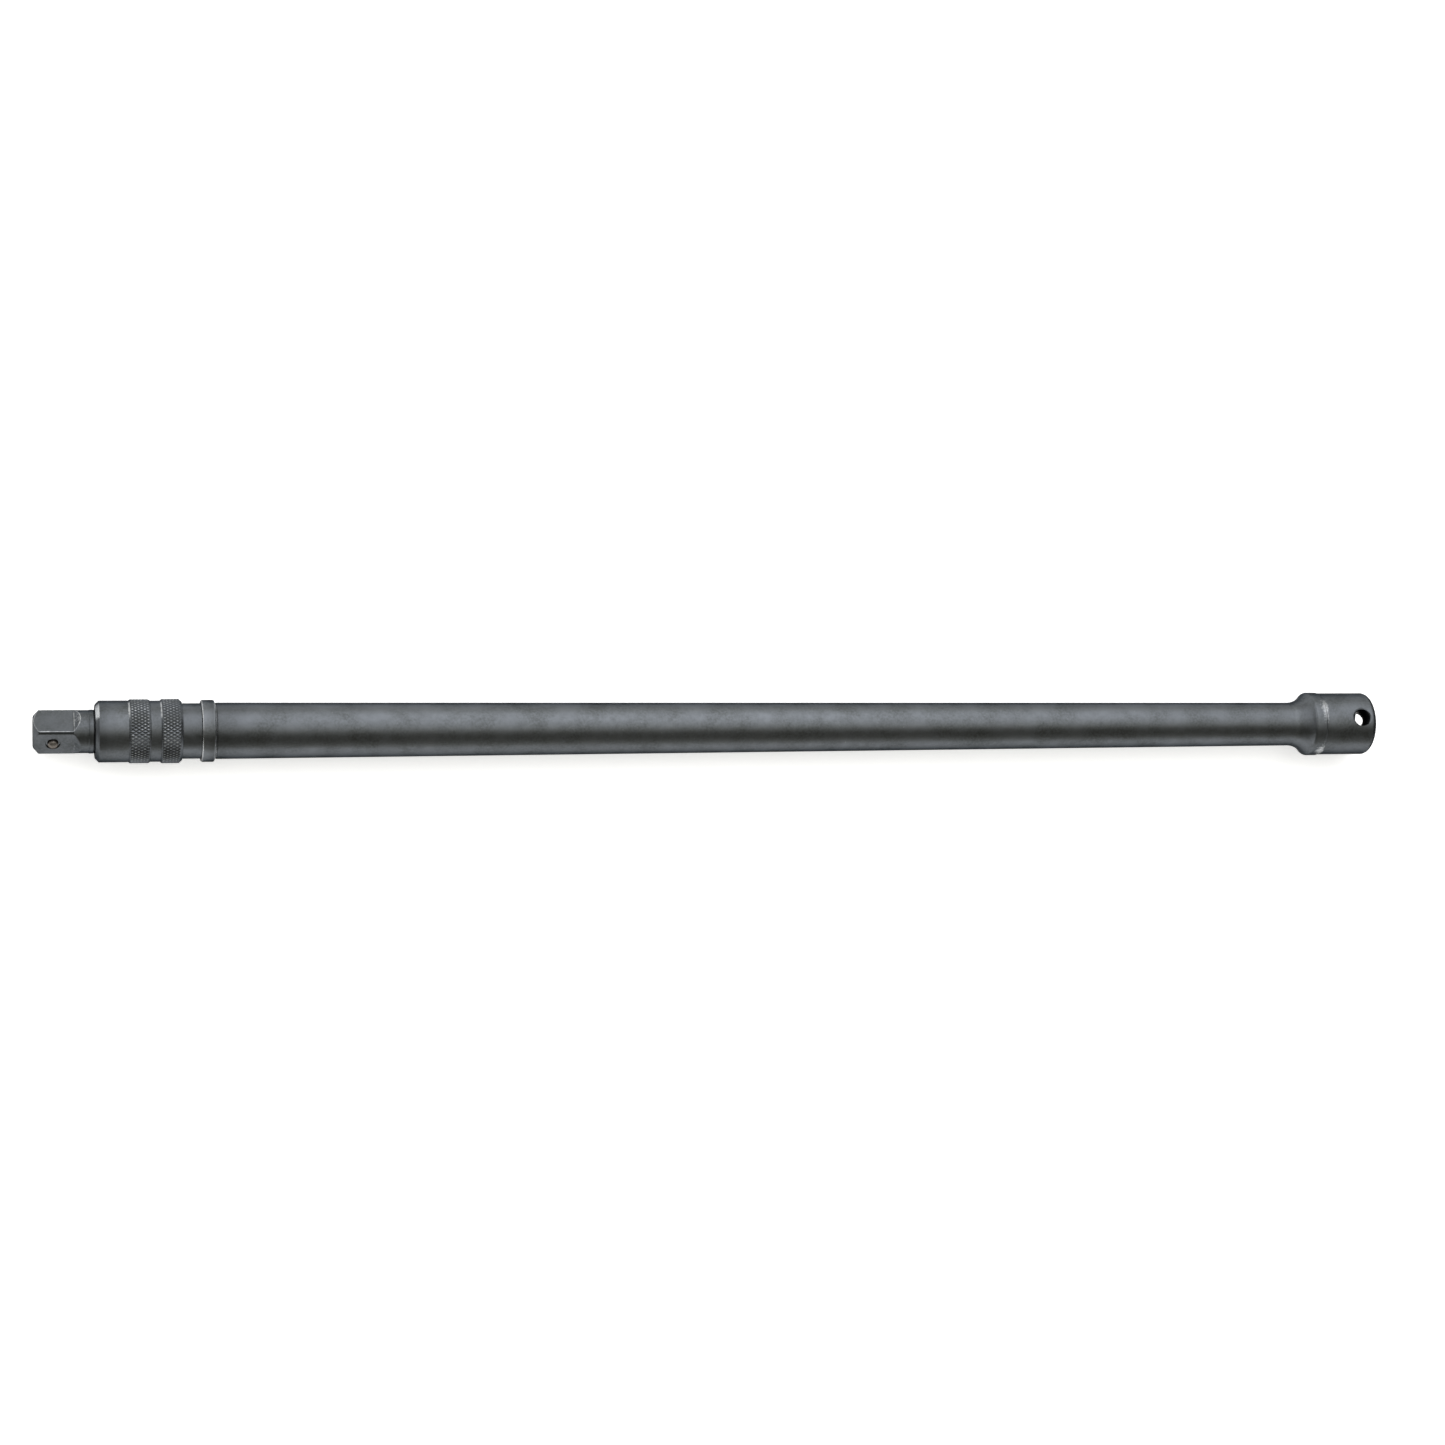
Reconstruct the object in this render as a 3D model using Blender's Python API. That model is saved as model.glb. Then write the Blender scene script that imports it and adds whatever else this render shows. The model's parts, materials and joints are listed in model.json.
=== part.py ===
"""A locking extension bar for 1/2 inch square drive, with the sliding sleeve forward and the lock pin out.

The bar lies along +X. The origin is the centre of the male square's tip face, and the female socket opens
at +X. The male square, its sleeve and everything in them are modelled in a drive frame: an empty turned
about X, in which the lock pin points along +Z and the cross pin lies along Y.
"""

import math

import bmesh
import bpy
from mathutils import Matrix

MM = 0.001
FACETS = 48  # facets round every turned surface, so that concentric pieces stay in step

# Driving dimensions
LENGTH = 558.8 * MM
MALE_FLATS = 12.7 * MM
MALE_CORNERS = 16.9 * MM  # across the turned corners of the male square
FEMALE_FLATS = 12.8 * MM
FEMALE_CORNERS = 17.5 * MM
HEAD_DIAMETER = 26.2 * MM
SLEEVE_TRAVEL = 5.5 * MM
PIN_DROP = 1.3 * MM
DRIVE_ROLL = math.radians(60)  # the lock pin's flat, turned about X from the cross hole's side
FIT = 0.1 * MM  # between a pressed piece and its seat
GAP = 0.3 * MM  # between pieces that rest against each other
PAST = 1 * MM  # how far a cutter starts before the face it cuts
REACH = 14 * MM  # of a cutter that goes right through the bar, from the axis

# Male square and neck
SQUARE_LENGTH = 15.3 * MM
RUN_OUT_SLOPE = math.tan(math.radians(38))  # of the ramp in which a flat rises to the neck
NECK_START = 18.5 * MM
TIP_CHAMFER = 2.1 * MM
TIP_RADIUS = 6.05 * MM
NECK_RADIUS = 8.35 * MM
COLLAR = (21.0 * MM, 23.0 * MM)
COLLAR_RADIUS = 8.5 * MM
COLLAR_EDGE = 0.15 * MM
RING_GROOVE = (23.9 * MM, 25.1 * MM)
RING_GROOVE_RADIUS = 7.9 * MM
SHOULDER = 46.0 * MM  # where the neck steps up to the shank, and the return spring rests
SHOULDER_CHAMFER = 0.5 * MM

# Axial bore with its plug and its control rod
BORE_RADIUS = 3.1 * MM
BORE_LENGTH = 41.0 * MM
BORE_POINT = 1.8 * MM
PLUG_RADIUS = 3.6 * MM
PLUG_LENGTH = 1.5 * MM
ROD_RADIUS = 2.8 * MM
ROD_END = 33.6 * MM

# Lock pin, standing on the control rod's ramp
PIN_AT = 7.5 * MM
PIN_RADIUS = 2.0 * MM
PIN_FOOT_RADIUS = 2.45 * MM
PIN_HOLE_RADIUS = 2.7 * MM
PIN_FOOT = 2.05 * MM
PIN_FOOT_CONE = 0.65 * MM
PIN_FOOT_TOP = 3.0 * MM
PIN_TOP = MALE_FLATS / 2 + 1.5 * MM
PIN_DOME = 1.1 * MM
BUSH = (4.75 * MM, 5.75 * MM)
RAMP_SLOPE = PIN_DROP / SLEEVE_TRAVEL
RAMP_BELOW_FOOT = 0.2 * MM

# Cross pin, with the slot it slides in
CROSS_PIN_AT = 29.7 * MM
CROSS_PIN_RADIUS = 1.5 * MM
CROSS_PIN_HALF = 10.7 * MM
SLOT = (CROSS_PIN_AT - 1.9 * MM, CROSS_PIN_AT + SLEEVE_TRAVEL + 2.0 * MM)
SLOT_WIDTH = 3.6 * MM

# Sliding sleeve
SLEEVE = (23.4 * MM, 56.6 * MM)
SLEEVE_RADIUS = 12.02 * MM
SLEEVE_NOSE = (1.45 * MM, 10.45 * MM)  # length of the front chamfer, and the radius it starts from
SLEEVE_TAIL = (1.2 * MM, 11.5 * MM)  # the same at the rear
SLEEVE_WAIST_RADIUS = 11.92 * MM
SLEEVE_CAVITY_RADIUS = 11.08 * MM
SLEEVE_FLANGE_RADIUS = 8.6 * MM
SLEEVE_MOUTH_RADIUS = 9.35 * MM
FRONT_BAND = (36.1 * MM, 44.4 * MM, 12.47 * MM)
REAR_BAND = (48.3 * MM, 56.6 * MM, 12.55 * MM)
BAND_BEVEL = 0.55 * MM

# Stop ring and shank
STOP_RING = (63.9 * MM, 69.2 * MM)
STOP_RING_RADIUS = 12.15 * MM
STOP_RING_EDGE = 0.9 * MM
SEAT_RADIUS = 10.83 * MM
SHANK_START = 69.5 * MM
SHANK_FRONT_RADIUS = 11.05 * MM
SHANK_CHAMFER = 0.4 * MM
SHANK_END = 522.5 * MM
SHANK_REAR_RADIUS = 9.15 * MM
HEAD_FILLET = 10.0 * MM
HEAD_CONE = 50  # degrees, the slope up to the head
HEAD_CROWN = 1.6 * MM

# Female head
HEAD_STEP = 535.3 * MM
HEAD_STEP_SLOPE = 0.35 * MM
HEAD_BAND_RADIUS = 13.4 * MM
HEAD_EDGE = 2.6 * MM
SOCKET_DEPTH = 17.5 * MM
SOCKET_RELIEF = 2.0 * MM
SOCKET_RELIEF_RADIUS = 9.1 * MM
MOUTH_RADIUS = 9.2 * MM
MOUTH_DEPTH = 1.6 * MM
PILOT_RADIUS = 6.6 * MM
PILOT_DEPTH = 19.0 * MM
PILOT_POINT = 3.8 * MM
CROSS_HOLE_AT = LENGTH - 7.0 * MM
CROSS_HOLE_RADIUS = 3.5 * MM
CROSS_HOLE_RIM = 4.2 * MM
CROSS_HOLE_INNER = 2.9 * MM  # its radius where it enters the socket
DETENT_RADIUS = 3.2 * MM
DETENT_DEPTH = 0.9 * MM

# Springs, snap ring and washer
SNAP_WIRE = 0.5 * MM
SNAP_OPENING = math.radians(14)
WASHER = (CROSS_PIN_AT + CROSS_PIN_RADIUS + GAP, CROSS_PIN_AT + CROSS_PIN_RADIUS + GAP + 1.0 * MM)
RETURN_WIRE = 0.6 * MM  # radius
RETURN_COIL_RADIUS = 9.75 * MM
RETURN_TURNS = 5.5
LOCK_WIRE = 0.15 * MM
LOCK_COIL_RADIUS = 2.25 * MM
LOCK_TURNS = 3.5

BLACK = ((0.030, 0.029, 0.027), 0.40, 0.85)
BLACK_SLEEVE = ((0.034, 0.032, 0.030), 0.42, 0.85)
BARE_STEEL = ((0.36, 0.34, 0.31), 0.38, 1.0)
SPRING_STEEL = ((0.20, 0.19, 0.18), 0.32, 1.0)
GROUND_STEEL = ((0.45, 0.44, 0.42), 0.25, 1.0)


def material(name, look):
    colour, roughness, metallic = look
    made = bpy.data.materials.new(name)
    made.use_nodes = True
    shader = made.node_tree.nodes["Principled BSDF"]
    shader.inputs["Base Color"].default_value = (*colour, 1)
    shader.inputs["Roughness"].default_value = roughness
    shader.inputs["Metallic"].default_value = metallic
    return made


def new_object(name, mesh, parent=None, look=None):
    made = bpy.data.objects.new(name, mesh)
    bpy.context.scene.collection.objects.link(made)
    made.parent = parent
    if look:
        mesh.materials.append(material(name + "_material", look))
        mesh.shade_smooth()
        mesh.set_sharp_from_angle(angle=math.radians(25))
    else:
        made.hide_render = True
        made.display_type = "WIRE"
    return made


def mesh_of(name, points, faces):
    """A mesh whose faces all point outwards."""
    shape = bmesh.new()
    corners = [shape.verts.new(point) for point in points]
    for face in faces:
        shape.faces.new([corners[i] for i in face])
    bmesh.ops.recalc_face_normals(shape, faces=shape.faces)
    mesh = bpy.data.meshes.new(name)
    shape.to_mesh(mesh)
    shape.free()
    return mesh


def turned(name, outline, facets=FACETS):
    """A solid turned about X from a closed outline of (x, radius) points."""
    points, rings = [], []
    for x, radius in outline:
        count = facets if radius > 0 else 1
        turn = math.tau / facets
        rings.append([len(points) + k for k in range(count)])
        points += [(x, radius * math.cos(k * turn), radius * math.sin(k * turn)) for k in range(count)]
    faces = []
    for near, far in zip(rings, rings[1:] + rings[:1]):
        if len(near) == len(far) == 1:
            continue
        for k in range(facets):
            after = (k + 1) % facets
            corners = [near[k % len(near)], near[after % len(near)], far[after % len(far)], far[k % len(far)]]
            faces.append(list(dict.fromkeys(corners)))
    return mesh_of(name, points, faces)


def arc(x, radius, size, start, end, steps):
    """Points on a circle about (x, radius) in a turned outline, from one angle to the other in degrees."""
    angles = [math.radians(start + (end - start) * k / steps) for k in range(steps + 1)]
    return [(x + size * math.cos(a), radius + size * math.sin(a)) for a in angles]


def prism(name, outline, low, high, to_world):
    """A straight prism. Its outline lies in the first two axes of to_world, and it runs along the third."""
    count = len(outline)
    points = [to_world @ Matrix.Translation((u, v, w)).translation for w in (low, high) for u, v in outline]
    faces = [list(range(count)), list(range(count, 2 * count))]
    faces += [[k, (k + 1) % count, count + (k + 1) % count, count + k] for k in range(count)]
    return mesh_of(name, points, faces)


def coil(name, start, end, radius, wire, turns, per_turn, sides, axis):
    """A round-wire compression spring along an axis, its wire's ends closed flat."""
    steps = round(turns * per_turn)
    pitch = (end - start - 2 * wire) / turns / math.tau
    points, faces = [], []
    for k in range(steps + 1):
        turn = math.tau * turns * k / steps
        out = (math.cos(turn), math.sin(turn))
        rise = start + wire + pitch * turn
        for j in range(sides):
            round_wire = math.tau * j / sides
            reach = radius + wire * math.cos(round_wire)
            points.append(axis @ Matrix.Translation(
                (reach * out[0], reach * out[1], rise + wire * math.sin(round_wire))).translation)
    for k in range(steps):
        for j in range(sides):
            after = (j + 1) % sides
            faces.append([k * sides + j, k * sides + after, (k + 1) * sides + after, (k + 1) * sides + j])
    faces += [list(range(sides)), list(range(steps * sides, (steps + 1) * sides))]
    return mesh_of(name, points, faces)


def cut(piece, cutter, name):
    step = piece.modifiers.new(name, "BOOLEAN")
    step.operation = "DIFFERENCE"
    step.solver = "EXACT"
    step.object = cutter


ALONG_Y = Matrix(((1, 0, 0, 0), (0, 0, 1, 0), (0, 1, 0, 0), (0, 0, 0, 1)))  # outline in X and Z
ALONG_X = Matrix(((0, 0, 1, 0), (1, 0, 0, 0), (0, 1, 0, 0), (0, 0, 0, 1)))  # outline in Y and Z
ALONG_Z = Matrix.Identity(4)
X_TO_Z = Matrix.Rotation(-math.pi / 2, 4, "Y")  # turns a piece that was turned about X upright
X_TO_Y = Matrix.Rotation(math.pi / 2, 4, "Z")


def upright(mesh, x):
    """A mesh turned about X, stood along +Z at a place along the bar."""
    mesh.transform(Matrix.Translation((x, 0, 0)) @ X_TO_Z)
    return mesh


def bar_outline():
    """The bar's outside, from the tip to the socket end."""
    cone = math.radians(HEAD_CONE)
    fillet = arc(SHANK_END, SHANK_REAR_RADIUS + HEAD_FILLET, HEAD_FILLET, -90, -90 + HEAD_CONE, 6)
    crown_low = HEAD_BAND_RADIUS - HEAD_CROWN * (1 - math.cos(cone))
    crown_at = fillet[-1][0] + (crown_low - fillet[-1][1]) / math.tan(cone) + HEAD_CROWN * math.sin(cone)
    outline = [(0, TIP_RADIUS), (TIP_CHAMFER, MALE_CORNERS / 2)]
    outline += [(SQUARE_LENGTH, MALE_CORNERS / 2), (NECK_START, NECK_RADIUS)]
    outline += [(COLLAR[0], NECK_RADIUS), (COLLAR[0] + COLLAR_EDGE, COLLAR_RADIUS)]
    outline += [(COLLAR[1] - COLLAR_EDGE, COLLAR_RADIUS), (COLLAR[1], NECK_RADIUS)]
    outline += [(RING_GROOVE[0], NECK_RADIUS), (RING_GROOVE[0], RING_GROOVE_RADIUS)]
    outline += [(RING_GROOVE[1], RING_GROOVE_RADIUS), (RING_GROOVE[1], NECK_RADIUS)]
    outline += [(SHOULDER, NECK_RADIUS), (SHOULDER, SEAT_RADIUS - SHOULDER_CHAMFER)]
    outline += [(SHOULDER + SHOULDER_CHAMFER, SEAT_RADIUS)]
    outline += [(SHANK_START, SEAT_RADIUS), (SHANK_START + SHANK_CHAMFER, SHANK_FRONT_RADIUS)]
    outline += fillet + arc(crown_at, HEAD_BAND_RADIUS - HEAD_CROWN, HEAD_CROWN, 90 + HEAD_CONE, 90, 3)
    outline += [(HEAD_STEP, HEAD_BAND_RADIUS), (HEAD_STEP + HEAD_STEP_SLOPE, HEAD_DIAMETER / 2)]
    outline += arc(LENGTH - HEAD_EDGE, HEAD_DIAMETER / 2 - HEAD_EDGE, HEAD_EDGE, 90, 0, 6)
    return outline


def bore_outline():
    """The axial bore from its blind end to past the tip, with the plug's seat."""
    seat = PLUG_LENGTH + 0.05 * MM
    outline = [(BORE_LENGTH + BORE_POINT, 0), (BORE_LENGTH, BORE_RADIUS), (seat, BORE_RADIUS)]
    return outline + [(seat, PLUG_RADIUS + FIT), (-PAST, PLUG_RADIUS + FIT), (-PAST, 0)]


def flat_cutters(drive):
    """Four blocks that mill the male square, each rising in a ramp to the neck."""
    flat, high = MALE_FLATS / 2, REACH
    outline = [(-PAST, flat), (SQUARE_LENGTH, flat), (SQUARE_LENGTH + (high - flat) / RUN_OUT_SLOPE, high)]
    outline += [(-PAST, high)]
    for k in range(4):
        mesh = prism(f"flat_cutter_{k}", outline, -REACH, REACH, ALONG_Y)
        mesh.transform(Matrix.Rotation(k * math.pi / 2, 4, "X"))
        yield new_object(mesh.name, mesh, drive)


def slot_cutter(drive):
    """The slot through the neck for the cross pin, with round ends."""
    half = SLOT_WIDTH / 2
    outline = arc(SLOT[0] + half, 0, half, 270, 90, 8) + arc(SLOT[1] - half, 0, half, 90, -90, 8)
    return new_object("slot_cutter", prism("slot_cutter", outline, -REACH, REACH, ALONG_Y), drive)


def socket_cutters():
    """The drilled pilot, the chip relief, the broached square and its countersunk mouth."""
    point = LENGTH - PILOT_DEPTH - PILOT_POINT
    pilot = [(point, 0), (LENGTH - PILOT_DEPTH, PILOT_RADIUS), (LENGTH + PAST, PILOT_RADIUS)]
    pilot += [(LENGTH + PAST, 0)]
    yield new_object("pilot_cutter", turned("pilot_cutter", pilot))
    bottom = LENGTH - SOCKET_DEPTH
    relief = [(bottom, 0), (bottom, SOCKET_RELIEF_RADIUS), (bottom + SOCKET_RELIEF, SOCKET_RELIEF_RADIUS)]
    yield new_object("relief_cutter", turned("relief_cutter", relief + [(bottom + SOCKET_RELIEF, 0)]))
    square, steps = [], 6
    half = FEMALE_FLATS / 2
    reach = math.degrees(math.acos(half / (FEMALE_CORNERS / 2)))
    for k in range(4):
        square += arc(0, 0, FEMALE_CORNERS / 2, 90 * k + reach, 90 * k + 90 - reach, steps)
    mesh = prism("square_cutter", square, bottom + SOCKET_RELIEF / 2, LENGTH + PAST, ALONG_X)
    yield new_object("square_cutter", mesh)
    mouth = [(LENGTH - MOUTH_DEPTH, 0), (LENGTH - MOUTH_DEPTH, MOUTH_RADIUS - MOUTH_DEPTH)]
    mouth += [(LENGTH + PAST, MOUTH_RADIUS + PAST), (LENGTH + PAST, 0)]
    yield new_object("mouth_cutter", turned("mouth_cutter", mouth))


def detent_cutters():
    """The countersunk cross hole along Z, and a round recess in each of the other two walls."""
    wall = HEAD_DIAMETER / 2
    sink = CROSS_HOLE_RIM - CROSS_HOLE_RADIUS
    far = wall + PAST
    rim = CROSS_HOLE_RIM + PAST
    top = [(far, 0), (far, rim), (wall - sink, CROSS_HOLE_RADIUS), (FEMALE_FLATS / 2, CROSS_HOLE_INNER)]
    outline = top + [(-x, radius) for x, radius in reversed(top)]
    yield new_object("cross_hole_cutter", upright(turned("cross_hole_cutter", outline, 24), CROSS_HOLE_AT))
    floor = FEMALE_FLATS / 2
    lens = [(-floor - DETENT_DEPTH, 0), (-floor, DETENT_RADIUS), (floor, DETENT_RADIUS)]
    lens += [(floor + DETENT_DEPTH, 0)]
    mesh = turned("recess_cutter", lens, 24)
    mesh.transform(Matrix.Translation((CROSS_HOLE_AT, 0, 0)) @ X_TO_Y)
    yield new_object("recess_cutter", mesh)


def pin_hole_cutter(drive):
    inside, outside = PAST, REACH
    outline = [(inside, 0), (inside, PIN_HOLE_RADIUS), (outside, PIN_HOLE_RADIUS), (outside, 0)]
    return new_object("pin_hole_cutter", upright(turned("pin_hole_cutter", outline, 24), PIN_AT), drive)


def extension_bar(drive):
    """The bar: male square, neck, tapering shank and female head, in one forging."""
    outline = [(0, 0)] + bar_outline() + [(LENGTH, 0)]
    bar = new_object("extension_bar", turned("extension_bar", outline), None, BLACK)
    cutters = [*flat_cutters(drive), slot_cutter(drive), pin_hole_cutter(drive)]
    cutters += [new_object("bore_cutter", turned("bore_cutter", bore_outline()))]
    cutters += [*socket_cutters(), *detent_cutters()]
    for cutter in cutters:
        cut(bar, cutter, cutter.name)
    return bar


def stop_ring():
    """A plain ring pressed on the shank, which the sleeve runs up against."""
    edge, bore = STOP_RING_EDGE, SEAT_RADIUS + FIT
    outline = [(STOP_RING[0], bore), (STOP_RING[1], bore)]
    outline += arc(STOP_RING[1] - edge, STOP_RING_RADIUS - edge, edge, 0, 90, 4)
    outline += arc(STOP_RING[0] + edge, STOP_RING_RADIUS - edge, edge, 90, 180, 4)
    return new_object("stop_ring", turned("stop_ring", outline), None, BLACK)


def front_snap_ring(drive):
    """An open ring of round wire, sprung into the neck's groove in front of the sleeve's flange."""
    wire, sides, steps = SNAP_WIRE, 8, 44
    middle = (RING_GROOVE[0] + RING_GROOVE[1]) / 2
    reach = RING_GROOVE_RADIUS + FIT + wire
    points, faces = [], []
    for k in range(steps + 1):
        turn = SNAP_OPENING / 2 + (math.tau - SNAP_OPENING) * k / steps
        for j in range(sides):
            around = math.tau * j / sides
            radius = reach + wire * math.cos(around)
            x = middle + wire * math.sin(around)
            points.append((x, radius * math.cos(turn), radius * math.sin(turn)))
    for k in range(steps):
        for j in range(sides):
            after = (j + 1) % sides
            faces.append([k * sides + j, k * sides + after, (k + 1) * sides + after, (k + 1) * sides + j])
    faces += [list(range(sides)), list(range(steps * sides, (steps + 1) * sides))]
    return new_object("front_snap_ring", mesh_of("front_snap_ring", points, faces), drive, SPRING_STEEL)


def bore_plug():
    """The disc that closes the axial bore, flush with the tip."""
    outline = [(0, 0), (0, PLUG_RADIUS - 0.2 * MM), (0.2 * MM, PLUG_RADIUS), (PLUG_LENGTH, PLUG_RADIUS)]
    return new_object("bore_plug", turned("bore_plug", outline + [(PLUG_LENGTH, 0)]), None, BLACK)


def lock_pin_bush(drive):
    """The ring pressed into the lock pin's hole, which keeps the pin and its spring in."""
    bore, rim = PIN_RADIUS + 0.15 * MM, PIN_HOLE_RADIUS - FIT
    outline = [(BUSH[0], bore), (BUSH[1], bore), (BUSH[1], rim), (BUSH[0], rim)]
    return new_object("lock_pin_bush", upright(turned("lock_pin_bush", outline, 24), PIN_AT), drive, BLACK)


def band(low, high, radius):
    """A raised band on the sleeve, its edges bevelled."""
    return [(low, SLEEVE_WAIST_RADIUS), (low + BAND_BEVEL, radius), (high - BAND_BEVEL, radius)]


def locking_sleeve(drive):
    """The sliding sleeve. A flange near its front pulls the cross pin back, and rests on the snap ring."""
    flange_front = RING_GROOVE[1] + 0.2 * MM
    flange_back = CROSS_PIN_AT - CROSS_PIN_RADIUS - GAP
    outline = [(SLEEVE[0], SLEEVE_MOUTH_RADIUS), (SLEEVE[0], SLEEVE_NOSE[1])]
    outline += [(SLEEVE[0] + SLEEVE_NOSE[0], SLEEVE_RADIUS)]
    outline += [(FRONT_BAND[0], SLEEVE_RADIUS), *band(*FRONT_BAND)[1:], (FRONT_BAND[1], SLEEVE_WAIST_RADIUS)]
    outline += band(*REAR_BAND)[:2]
    outline += [(SLEEVE[1] - SLEEVE_TAIL[0], REAR_BAND[2]), (SLEEVE[1], SLEEVE_TAIL[1])]
    outline += [(SLEEVE[1], SLEEVE_CAVITY_RADIUS), (flange_back, SLEEVE_CAVITY_RADIUS)]
    outline += [(flange_back, SLEEVE_FLANGE_RADIUS), (flange_front, SLEEVE_FLANGE_RADIUS)]
    outline += [(flange_front, SLEEVE_MOUTH_RADIUS)]
    return new_object("locking_sleeve", turned("locking_sleeve", outline), drive, BLACK_SLEEVE)


def cross_pin(drive):
    """The pin through the neck's slot and the control rod, its ends behind the sleeve's flange."""
    edge = 0.3 * MM
    half, radius = CROSS_PIN_HALF, CROSS_PIN_RADIUS
    outline = [(-half, 0), (-half, radius - edge), (edge - half, radius), (half - edge, radius)]
    outline += [(half, radius - edge), (half, 0)]
    mesh = turned("cross_pin", outline, 24)
    mesh.transform(Matrix.Translation((CROSS_PIN_AT, 0, 0)) @ X_TO_Y)
    return new_object("cross_pin", mesh, drive, GROUND_STEEL)


def control_rod(drive):
    """The rod in the axial bore. Its ramp holds the lock pin out, and lowers it as the sleeve comes back."""
    start = PLUG_LENGTH + GAP
    edge = 0.3 * MM
    outline = [(start, 0), (start, ROD_RADIUS), (ROD_END - edge, ROD_RADIUS)]
    outline += [(ROD_END, ROD_RADIUS - edge), (ROD_END, 0)]
    rod = new_object("control_rod", turned("control_rod", outline, 24), drive, GROUND_STEEL)
    ramp_at_pin = PIN_FOOT - RAMP_BELOW_FOOT
    high = ROD_RADIUS + PAST
    low_x, high_x = -PAST, PIN_AT + (high - ramp_at_pin) / RAMP_SLOPE
    wedge = [(low_x, ramp_at_pin + (low_x - PIN_AT) * RAMP_SLOPE), (high_x, high), (low_x, high)]
    cut(rod, new_object("ramp_cutter", prism("ramp_cutter", wedge, -high, high, ALONG_Y), drive), "ramp")
    clear = CROSS_PIN_RADIUS + FIT
    hole = turned("rod_hole_cutter", [(-high, 0), (-high, clear), (high, clear), (high, 0)], 24)
    hole.transform(Matrix.Translation((CROSS_PIN_AT, 0, 0)) @ X_TO_Y)
    cut(rod, new_object("rod_hole_cutter", hole, drive), "cross_hole")
    return rod


def spring_washer(drive):
    """The washer between the cross pin and the return spring."""
    inner, outer = COLLAR_RADIUS + 0.2 * MM, SLEEVE_CAVITY_RADIUS - GAP
    outline = [(WASHER[0], inner), (WASHER[1], inner), (WASHER[1], outer), (WASHER[0], outer)]
    return new_object("spring_washer", turned("spring_washer", outline), drive, GROUND_STEEL)


def return_spring(drive):
    """The spring that holds the sleeve forward, between the washer and the neck's shoulder."""
    start, end = WASHER[1] + GAP, SHOULDER - GAP
    mesh = coil("return_spring", start, end, RETURN_COIL_RADIUS, RETURN_WIRE, RETURN_TURNS, 24, 8, ALONG_X)
    return new_object("return_spring", mesh, drive, SPRING_STEEL)


def lock_pin(drive):
    """The lock pin: a foot with a coned sole on the ramp, a stem, and a domed end proud of the flat."""
    dome = (PIN_RADIUS ** 2 + PIN_DOME ** 2) / (2 * PIN_DOME)
    sweep = math.degrees(math.asin(PIN_RADIUS / dome))
    outline = [(PIN_FOOT, 0), (PIN_FOOT + PIN_FOOT_CONE, PIN_FOOT_RADIUS), (PIN_FOOT_TOP, PIN_FOOT_RADIUS)]
    outline += [(PIN_FOOT_TOP, PIN_RADIUS)] + arc(PIN_TOP - dome, 0, dome, sweep, 0, 5)[:-1] + [(PIN_TOP, 0)]
    pin = new_object("lock_pin", turned("lock_pin", outline, 24), drive, BARE_STEEL)
    pin.data.transform(X_TO_Z)
    pin.location = (PIN_AT, 0, 0)
    return pin


def lock_pin_spring(drive):
    """The fine spring round the stem, from the pin's foot up to the bush."""
    low, high = PIN_FOOT_TOP + 0.05 * MM, BUSH[0] - 0.05 * MM
    mesh = coil("lock_pin_spring", low, high, LOCK_COIL_RADIUS, LOCK_WIRE, LOCK_TURNS, 16, 6, ALONG_Z)
    mesh.transform(Matrix.Translation((PIN_AT, 0, 0)))
    return new_object("lock_pin_spring", mesh, drive, SPRING_STEEL)


def main():
    for old in list(bpy.data.objects):
        bpy.data.objects.remove(old)
    drive = bpy.data.objects.new("drive_frame", None)
    bpy.context.scene.collection.objects.link(drive)
    drive.rotation_euler = (DRIVE_ROLL, 0, 0)
    extension_bar(drive)
    stop_ring()
    bore_plug()
    for piece in (front_snap_ring, lock_pin_bush, locking_sleeve, cross_pin, control_rod, spring_washer,
                  return_spring, lock_pin, lock_pin_spring):
        piece(drive)


main()
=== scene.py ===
"""The looks of a locking extension bar: fine meshes for the bar, its stop ring, its knurled sleeve, its
lock pin and its springs, in black oxide, bare steel and spring steel, on a pale floor in a light tent."""

import json
import math

import bpy
import numpy as np
from mathutils import Matrix, Vector


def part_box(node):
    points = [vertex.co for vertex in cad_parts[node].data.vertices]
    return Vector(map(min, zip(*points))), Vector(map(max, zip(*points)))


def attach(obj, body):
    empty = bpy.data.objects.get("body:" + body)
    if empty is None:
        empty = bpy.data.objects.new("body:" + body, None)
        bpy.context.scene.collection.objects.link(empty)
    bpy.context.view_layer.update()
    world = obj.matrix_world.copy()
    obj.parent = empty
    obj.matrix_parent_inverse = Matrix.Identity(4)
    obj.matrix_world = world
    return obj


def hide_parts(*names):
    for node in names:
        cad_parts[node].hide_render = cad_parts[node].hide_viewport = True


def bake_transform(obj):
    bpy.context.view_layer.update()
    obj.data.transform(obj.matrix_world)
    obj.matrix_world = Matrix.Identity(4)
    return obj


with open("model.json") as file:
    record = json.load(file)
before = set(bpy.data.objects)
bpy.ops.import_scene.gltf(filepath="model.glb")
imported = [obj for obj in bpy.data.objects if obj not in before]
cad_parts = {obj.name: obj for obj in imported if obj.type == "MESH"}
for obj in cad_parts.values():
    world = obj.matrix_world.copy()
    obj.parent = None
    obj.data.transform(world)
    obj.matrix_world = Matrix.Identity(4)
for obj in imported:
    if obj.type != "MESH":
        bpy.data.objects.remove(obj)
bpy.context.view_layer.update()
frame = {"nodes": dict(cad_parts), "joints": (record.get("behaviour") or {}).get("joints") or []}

MM = 0.001
TURN = 2 * math.pi

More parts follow.
